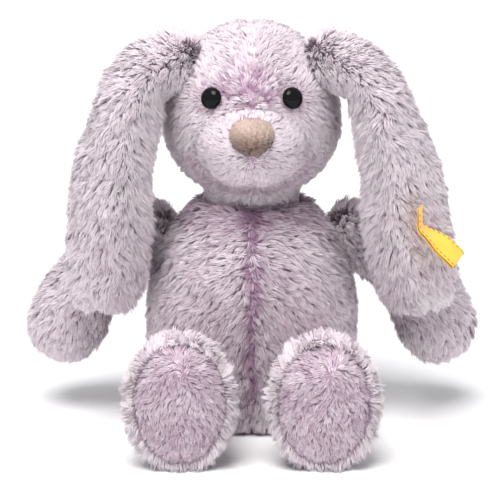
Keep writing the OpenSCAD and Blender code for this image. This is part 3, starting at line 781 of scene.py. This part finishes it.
# %% Lay on the ears and the arms
def ear_lay(side_name):
    sign = 1 if side_name == "left" else -1
    start = joint_place("ear_lift_" + side_name)

    def lay(root, normal):
        x, y, z = root.T
        down = ease(start[2] - z, -5 * mm, 30 * mm)
        over = of(len(x), sign, -0.15, 0.1 - 0.5 * (1 - down))
        hang = of(len(x), 0.38 * sign, 0.15, -1)
        inner = ease(-sign * normal[:, 0], 0.2, 0.9) * down
        collar = np.exp(-((np.linalg.norm(root - start, axis=1) / (17 * mm)) ** 2))
        return {
            "lay": (1 - down)[:, None] * over + down[:, None] * hang,
            "length": (8.0 + 2.5 * inner) * mm * seam_factor(f"ear_{side_name}_skin", root, 0.5),
            "rise": 34.0 + 22 * inner + 30 * collar,
            "face": normal + of(len(x), 0, -0.9 * inner - 1.4 * collar, 0.6 * collar),
            "tone": 0.95 + 0.05 * ripple(root, 25 * mm, 5),
        }

    return lay


def arm_lay(side_name):
    shoulder = joint_place("arm_lift_" + side_name)
    low_corner, high_corner = (np.array(c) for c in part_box(f"arm_{side_name}_stuffing"))
    far_x = high_corner[0] if side_name == "left" else low_corner[0]
    along = unit(np.array([far_x, shoulder[1], low_corner[2] + 12 * mm]) - shoulder)

    def lay(root, normal):
        reach = (root - shoulder) @ along
        hand = ease(reach, 50 * mm, 80 * mm)
        collar = np.exp(-((np.linalg.norm(root - shoulder, axis=1) / (20 * mm)) ** 2))
        return {
            "lay": of(len(root), along[0] * (1 - 0.6 * hand), 0, along[2] - 0.4 * hand),
            "length": 7.6 * mm * seam_factor(f"arm_{side_name}_skin", root, 0.6),
            "rise": 34.0 + 28 * collar,
            "face": normal + of(len(root), 0, -1.3 * collar, 0.6 * collar),
            "tone": 0.9 + 0.06 * ripple(root, 22 * mm, 6),
        }

    return lay


# %% Lay on the legs and the soles
def leg_lay(side_name):
    sign = 1 if side_name == "left" else -1
    sole_low, sole_high = (np.array(c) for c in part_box(f"leg_{side_name}_sole"))
    centre = (sole_low + sole_high) / 2
    whorl = centre + np.array([3 * mm, 0, 16 * mm])
    seam_y = sole_high[1]

    def lay(root, normal):
        x, y, z = root.T
        on_sole = y < seam_y - 1.0 * mm
        out = root - centre
        out[:, 1] = 0
        rim = unit(out)
        rim_near = np.exp(-(((y - seam_y) / (9 * mm)) ** 2)) * ~on_sole
        outward = 0.2 + 0.9 * rim_near
        side_lay = of(len(x), outward * rim[:, 0], -1, outward * rim[:, 2])
        swirl = unit(of(len(x), x - whorl[0], 0, z - whorl[2]))
        down = of(len(x), 0.15 * np.sign(x - centre[0]), 0, -1)
        lower = (1 - ease(z, centre[2] - 14 * mm, centre[2] + 6 * mm))[:, None]
        sole_lay = (1 - lower) * (swirl + of(len(x), -0.3 * sign, 0, -0.5)) + lower * down
        side_length = 6.5 * mm * (1 + 0.6 * rim_near)
        sole_length = 4.2 * mm * seam_factor(f"leg_{side_name}_skin", root, 0.5)
        sole_tone = 0.56 + 0.09 * ripple(root, 18 * mm, 8)
        return {
            "lay": np.where(on_sole[:, None], sole_lay, side_lay),
            "length": np.where(on_sole, sole_length, side_length),
            "rise": np.where(on_sole, 32.0, 30.0 + 30 * rim_near),
            "face": normal + of(len(x), 0, -1.6 * rim_near, 0.5 * rim_near),
            "tone": np.where(on_sole, sole_tone, 0.91 + 0.07 * rim_near),
        }

    return lay


# %% Grow every part
grow("torso_pile", "torso", skins["torso_skin"], torso_lay, 11,
     near=[skins[f"{limb}_{side}_skin"] for limb in ("arm", "leg") for side in SIDES])
grow("tail_pile", "torso", skins["tail_skin"], tail_lay, 12, near=[skins["torso_skin"]])
grow("head_pile", "head", skins["head_skin"], head_lay, 13,
     near=[skins["ear_left_skin"], skins["ear_right_skin"], skins["torso_skin"]])
LAYS = {"ear": ear_lay, "arm": arm_lay, "leg": leg_lay}
for limb, parent in (("ear", "head_skin"), ("arm", "torso_skin"), ("leg", "torso_skin")):
    for number, side in enumerate(SIDES):
        grow(f"{limb}_{side}_pile", f"{limb}_{side}", skins[f"{limb}_{side}_skin"],
             LAYS[limb](side), 20 + 2 * len(limb) + ord(limb[0]) + number, near=[skins[parent]])

# %% [markdown]
# ## Nose
# The nose is a small pad in a short looped nap, wide at its top. A smooth pad would look like
# plastic. So the pad gets rows of small lumps and then a very short, dense nap.

# %% Nose pad and nap
nose_skin = closed_skin("nose_pad", ["nose_cover", "nose_padding"], 0.9 * mm)
nose_points = points_of(nose_skin.data)
nose_normals = np.empty(len(nose_points) * 3)
nose_skin.data.vertex_normals.foreach_get("vector", nose_normals)
nose_normals = nose_normals.reshape(-1, 3)
lumps = 0.25 * mm * ripple(nose_points, 2.6 * mm, 31)
nose_skin.data.vertices.foreach_set("co", (nose_points + nose_normals * lumps[:, None]).ravel())
nose_skin.data.update()
for polygon in nose_skin.data.polygons:
    polygon.use_smooth = True
nose_skin.data.materials.append(nose_cloth)
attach(nose_skin, "head")
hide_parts("nose_cover", "nose_padding")


def nose_lay(root, normal):
    # Painted light and shade: the nap's tone runs from dark at the bottom of the nose to pale at its top, as the
    # light from above falls on it.
    height = ease(root[:, 2], nose_low[2] + 3 * mm, nose_high[2] - 2 * mm)
    return {
        "lay": of(len(root), (root[:, 0] - nose[0]) * 60, 0, 0.35 + (root[:, 2] - nose[2]) * 60),
        "length": np.full(len(root), 1.9 * mm),
        "rise": np.full(len(root), 50.0),
        "tone": 0.12 + 0.8 * height,
        "keep": normal[:, 1] < 0.5,
    }


grow("nose_nap", "head", nose_skin, nose_lay, 41, density=11, clumps=0.7, width=0.42 * mm,
     material=nose_nap)

# %% [markdown]
# ## Eyes and hidden pieces
# The eyes are moulded safety eyes: a black dome with a high gloss on a ribbed stem. The washer
# behind the cloth, the wads, the seat pouch and the threads keep their own solids and
# get a material each, because they are what a repair would find inside.

# %% Plastics
def plastic(name, colour, roughness, coat=0.0, speck=0.0):
    material, shader = plain_material(name, roughness)
    nodes, link = material.node_tree.nodes, material.node_tree.links.new
    place = nodes.new("ShaderNodeTexCoord")
    grain = nodes.new("ShaderNodeTexNoise")
    grain.inputs["Scale"].default_value = 900.0
    link(place.outputs["Object"], grain.inputs["Vector"])
    shade = nodes.new("ShaderNodeMix")
    shade.data_type = "RGBA"
    shade.inputs["A"].default_value = (*colour, 1)
    shade.inputs["B"].default_value = (*[min(1, c + speck) for c in colour], 1)
    link(grain.outputs["Fac"], shade.inputs["Factor"])
    link(shade.outputs["Result"], shader.inputs["Base Color"])
    shader.inputs["Coat Weight"].default_value = coat
    shader.inputs["Coat Roughness"].default_value = 0.03
    return material


eye_black = plastic("eye_black", (0.004, 0.004, 0.005), 0.16, 0.0, 0.004)
eye_shader = eye_black.node_tree.nodes["Principled BSDF"]
eye_shader.inputs["Specular IOR Level"].default_value = 0.14
washer_white = plastic("washer_white", (0.72, 0.72, 0.70), 0.4, 0.0, 0.05)
pellet_plastic = plastic("pellet_plastic", (0.55, 0.58, 0.62), 0.45, 0.0, 0.25)

# %% Eye domes
EYE_RINGS, EYE_TURNS = 14, 48


def eye_dome(side):
    """A polished dome with a rounded rim, on the eye's own place and axis."""
    node = points_of(frame["nodes"]["eye_" + side].data)
    washer = box_middle("eye_washer_" + side)
    spread = node - washer
    axis = unit(spread[np.argmax(np.linalg.norm(spread, axis=1))])
    axis = unit(spread[(spread @ axis) > 0].mean(axis=0))
    top = (spread @ axis).max()
    wide = np.linalg.norm(spread - np.outer(spread @ axis, axis), axis=1)
    radius = wide.max()
    first = unit(np.cross(axis, [0, 0, 1.0]))
    second = np.cross(axis, first)
    height = 0.36 * 2 * radius
    points, faces = [], []
    for ring in range(EYE_RINGS):
        f = ring / (EYE_RINGS - 1)
        if f < 0.3:
            out, up = 0.9 + 0.1 * math.sin(f / 0.3 * math.pi / 2), 0.12 * f / 0.3
        else:
            turn = (f - 0.3) / 0.7 * math.pi / 2
            out, up = math.cos(turn), 0.12 + 0.88 * math.sin(turn)
        for k in range(EYE_TURNS):
            angle = 2 * math.pi * k / EYE_TURNS
            across = math.cos(angle) * first + math.sin(angle) * second
            base = washer + axis * (top - height * (1 - up))
            points.append(base + radius * max(out, 1e-4) * across)
    for ring in range(EYE_RINGS - 1):
        for k in range(EYE_TURNS):
            a, b = ring * EYE_TURNS + k, ring * EYE_TURNS + (k + 1) % EYE_TURNS
            faces.append((a, b, b + EYE_TURNS, a + EYE_TURNS))
    faces.append(tuple(range(EYE_TURNS))[::-1])
    mesh = bpy.data.meshes.new("eye_dome_" + side)
    mesh.from_pydata([tuple(p) for p in points], [], faces)
    merge = bmesh.new()
    merge.from_mesh(mesh)
    bmesh.ops.remove_doubles(merge, verts=merge.verts, dist=0.01 * mm)
    bmesh.ops.recalc_face_normals(merge, faces=merge.faces)
    merge.to_mesh(mesh)
    merge.free()
    for polygon in mesh.polygons:
        polygon.use_smooth = len(polygon.vertices) < 6
    mesh.materials.append(eye_black)
    dome = bpy.data.objects.new("eye_dome_" + side, mesh)
    bpy.context.scene.collection.objects.link(dome)
    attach(dome, "head")
    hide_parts("eye_" + side)
    return dome, radius, height


for side in SIDES:
    dome, radius, height = eye_dome(side)
    print(dome.name, "radius", round(radius / mm, 2), "height", round(height / mm, 2))

# %% Materials of the hidden pieces
HIDDEN = {
    "pouch_top": pouch_cloth, "pouch_bottom": pouch_cloth, "pouch_pellets": pellet_plastic,
    "eye_washer_left": washer_white, "eye_washer_right": washer_white,
    "ribbon_stitches": thread,
}
for name, node in frame["nodes"].items():
    if node.hide_render:
        continue
    material = HIDDEN.get(name, thread if "seam" in name else wadding)
    node.data.materials.clear()
    node.data.materials.append(material)
print("shown solids:", sorted(n for n, o in frame["nodes"].items() if not o.hide_render))

# %% [markdown]
# ## Ribbon loop
# A folded ribbon is sewn edge-on into the groove of the left ear. It is plain and unlettered.
# A flat box would look like card, so the ribbon is one strip that runs down the groove, turns
# outwards, bends round at its end and comes back, with woven ribs and a row of running stitches.

# %% Ribbon cloth
def ribbon_material():
    material, shader = plain_material("ribbon_weave", 0.55, 0.25)
    nodes, link = material.node_tree.nodes, material.node_tree.links.new
    place = nodes.new("ShaderNodeTexCoord")
    ribs = nodes.new("ShaderNodeTexWave")
    ribs.bands_direction = "Y"
    ribs.inputs["Scale"].default_value = 420.0
    link(place.outputs["Object"], ribs.inputs["Vector"])
    wear = nodes.new("ShaderNodeTexNoise")
    wear.inputs["Scale"].default_value = 160.0
    link(place.outputs["Object"], wear.inputs["Vector"])
    amount = nodes.new("ShaderNodeMath")
    amount.operation = "MULTIPLY_ADD"
    amount.inputs[1].default_value = 0.5
    link(ribs.outputs["Fac"], amount.inputs[0])
    link(wear.outputs["Fac"], amount.inputs[2])
    shade = nodes.new("ShaderNodeMix")
    shade.data_type = "RGBA"
    shade.inputs["A"].default_value = (0.85, 0.40, 0.03, 1)
    shade.inputs["B"].default_value = (0.98, 0.62, 0.07, 1)
    link(amount.outputs[0], shade.inputs["Factor"])
    link(shade.outputs["Result"], shader.inputs["Base Color"])
    bump = nodes.new("ShaderNodeBump")
    bump.inputs["Strength"].default_value = 0.4
    bump.inputs["Distance"].default_value = 0.0002
    link(ribs.outputs["Fac"], bump.inputs["Height"])
    link(bump.outputs["Normal"], shader.inputs["Normal"])
    return material


ribbon_weave = ribbon_material()
ribbon_thread, shader = plain_material("ribbon_thread", 0.6)
shader.inputs["Base Color"].default_value = (0.55, 0.07, 0.05, 1)
print("ribbon materials ready")

# %% Where the ribbon runs
RIBBON_WIDTH = 14 * mm
TAB_LENGTH = 11 * mm   # sewn down in the groove
LOOP_LENGTH = 29 * mm  # from the groove to the round end
LAYER = 0.7 * mm       # half the space between the two layers
END_BEND = 1.3 * mm    # radius of the round end
RIBBON_SWING = math.radians(52)
RIBBON_TILT = math.radians(14)
RIBBON_TWIST = math.radians(30)  # of the loop's face, so that it shows from the front

ribbon_low, ribbon_high = (np.array(c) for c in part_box("ribbon_loop"))
fold_reach = RIBBON_WIDTH / 2 * math.sin(RIBBON_TILT) + 0.87 * mm
ribbon_fold = np.array([
    ribbon_low[0] + fold_reach,
    (ribbon_low[1] + ribbon_high[1]) / 2,
    ribbon_high[2] - TAB_LENGTH,
])


def ribbon_frame(swing, twist):
    """Directions down the ribbon and across it, where it has swung out and turned its face."""
    down = np.array([math.sin(swing), 0, -math.cos(swing)])
    flat_x = math.sin(RIBBON_TILT)
    across = np.array([flat_x * math.cos(swing), math.cos(RIBBON_TILT), flat_x * math.sin(swing)])
    across = unit(across)
    return down, unit(math.cos(twist) * across + math.sin(twist) * np.cross(down, across))


def ribbon_middle(step):
    """Middle line of the folded ribbon: points and frames from the tab's top to the far end."""
    place = ribbon_fold + [0, 0, TAB_LENGTH]
    line, total = [], TAB_LENGTH + LOOP_LENGTH - END_BEND
    for k in range(int(total / step) + 1):
        run = k * step
        swing = RIBBON_SWING * float(ease(np.array(run), TAB_LENGTH - 3 * mm, TAB_LENGTH + 3 * mm))
        swing -= 0.16 * float(ease(np.array(run), TAB_LENGTH + 10 * mm, total))
        twist = RIBBON_TWIST * float(ease(np.array(run), TAB_LENGTH + 2 * mm, TAB_LENGTH + 18 * mm))
        down, across = ribbon_frame(swing, twist)
        line.append((place.copy(), down, across))
        place = place + step * down
    return line


# %% One strip for the whole ribbon
def ribbon_sections():
    line = ribbon_middle(1 * mm)
    there, back = [], []
    for number, (place, down, across) in enumerate(line):
        out = unit(np.cross(across, down))
        gap = LAYER * (0.55 + 0.9 * number / len(line))
        there.append((place + gap * out, across, out))
        back.append((place - gap * out, across, out))
    place, down, across = line[-1]
    out = unit(np.cross(across, down))
    gap = LAYER * 1.45
    bend = [
        (place + gap * math.cos(a) * out + END_BEND * math.sin(a) * down, across, out)
        for a in np.linspace(0, math.pi, 9)[1:-1]
    ]
    return there + bend + back[::-1]


RIBBON_COLUMNS = 6
sections = ribbon_sections()
ribbon_verts = [
    tuple(place + RIBBON_WIDTH * (k / RIBBON_COLUMNS - 0.5) * across
          + 0.25 * mm * (2 * k / RIBBON_COLUMNS - 1) ** 2 * out)
    for place, across, out in sections for k in range(RIBBON_COLUMNS + 1)
]
row = RIBBON_COLUMNS + 1
ribbon_faces = [
    (i * row + k, i * row + k + 1, (i + 1) * row + k + 1, (i + 1) * row + k)
    for i in range(len(sections) - 1) for k in range(RIBBON_COLUMNS)
]
ribbon_mesh = bpy.data.meshes.new("ribbon")
ribbon_mesh.from_pydata(ribbon_verts, [], ribbon_faces)
for polygon in ribbon_mesh.polygons:
    polygon.use_smooth = True
ribbon_mesh.materials.append(ribbon_weave)
ribbon = bpy.data.objects.new("ribbon", ribbon_mesh)
bpy.context.scene.collection.objects.link(ribbon)
thick = ribbon.modifiers.new("cloth", "SOLIDIFY")
thick.thickness = 0.45 * mm
thick.offset = 0.0
ribbon.modifiers.new("smooth", "SUBSURF").levels = 1
bake_modifiers(ribbon)
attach(ribbon, "ear_left")
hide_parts("ribbon_loop")

# %% Running stitches along both edges of the ribbon
STITCH_LENGTH, STITCH_STEP = 1.9 * mm, 3


def stitch_mesh(name, places):
    """Small pillow-shaped stitches, each from a place, a direction and the side it shows on."""
    made = bmesh.new()
    for place, along, out in places:
        start = len(made.verts)
        bmesh.ops.create_icosphere(made, subdivisions=1, radius=0.5)
        made.verts.ensure_lookup_table()
        across = np.cross(out, along)
        for vert in made.verts[start:]:
            x, y, z = vert.co
            vert.co = place + x * STITCH_LENGTH * along + y * 0.5 * mm * across + z * 0.4 * mm * out
    mesh = bpy.data.meshes.new(name)
    made.to_mesh(mesh)
    made.free()
    mesh.materials.append(ribbon_thread)
    piece = bpy.data.objects.new(name, mesh)
    bpy.context.scene.collection.objects.link(piece)
    return piece


stitch_places = []
for i in range(2, len(sections) - 2, STITCH_STEP):
    place, across, out = sections[i]
    along = unit(sections[i + 1][0] - sections[i - 1][0])
    face_out = unit(np.cross(across, along))
    for edge in (-0.4, 0.4):
        for face in (-1, 1):
            stitch_places.append(
                (place + edge * RIBBON_WIDTH * across + face * 0.3 * mm * face_out, along,
                 face_out * face)
            )
stitching = stitch_mesh("ribbon_stitching", stitch_places)
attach(stitching, "ear_left")
print(len(stitch_places), "stitches")

# %% [markdown]
# ## Floor, light and camera
# A plain pale floor and a broad soft light keep the pile's own colours. A small lamp would
# make hard shadows between strands. A wide sun lamp, high in front and a little to the left,
# gives the soft shadow under the head and the ears, and a bright sky fills the rest.

# %% Floor
FLOOR_SIZE = 12.0
floor_mesh = bpy.data.meshes.new("floor")
half = FLOOR_SIZE / 2
floor_mesh.from_pydata(
    [(-half, -half, 0), (half, -half, 0), (half, half, 0), (-half, half, 0)], [], [(0, 1, 2, 3)]
)
floor = bpy.data.objects.new("floor", floor_mesh)
bpy.context.scene.collection.objects.link(floor)
floor_white, shader = plain_material("floor_white", 0.9)
shader.inputs["Base Color"].default_value = (0.94, 0.94, 0.945, 1)
shader.inputs["Specular IOR Level"].default_value = 0.1
floor_mesh.materials.append(floor_white)

# %% Sky and lamps
world = bpy.data.worlds.new("studio")
bpy.context.scene.world = world
world.use_nodes = True
sky = world.node_tree.nodes["Background"]
sky.inputs["Color"].default_value = (0.97, 0.98, 1.0, 1)
sky.inputs["Strength"].default_value = 0.58


def lamp(name, kind, energy, from_point, colour=(1, 1, 1)):
    light = bpy.data.lights.new(name, kind)
    light.energy = energy
    light.color = colour
    holder = bpy.data.objects.new(name, light)
    bpy.context.scene.collection.objects.link(holder)
    holder.location = Vector(from_point)
    aim = middle - holder.location
    holder.rotation_euler = aim.to_track_quat("-Z", "Y").to_euler()
    return light


key = lamp("key", "SUN", 3.25, (-0.35, -1.3, 2.5), (1.0, 0.985, 0.98))
key.angle = math.radians(34)
print("lit by", key.name)

# %% Camera
CAMERA_TARGET = Vector((-0.001, -0.005, 0.1045))
CAMERA_DISTANCE = 1.1
CAMERA_RISE = math.radians(12)
camera_data = bpy.data.cameras.new("camera")
camera_data.sensor_width = 36.0
camera_data.lens = 141.4
camera = bpy.data.objects.new("camera", camera_data)
bpy.context.scene.collection.objects.link(camera)
camera.location = CAMERA_TARGET + CAMERA_DISTANCE * Vector(
    (0, -math.cos(CAMERA_RISE), math.sin(CAMERA_RISE))
)
camera.rotation_euler = (CAMERA_TARGET - camera.location).to_track_quat("-Z", "Y").to_euler()
bpy.context.scene.camera = camera
bpy.context.scene.view_settings.view_transform = "Standard"
print("camera at", [round(v, 3) for v in camera.location])
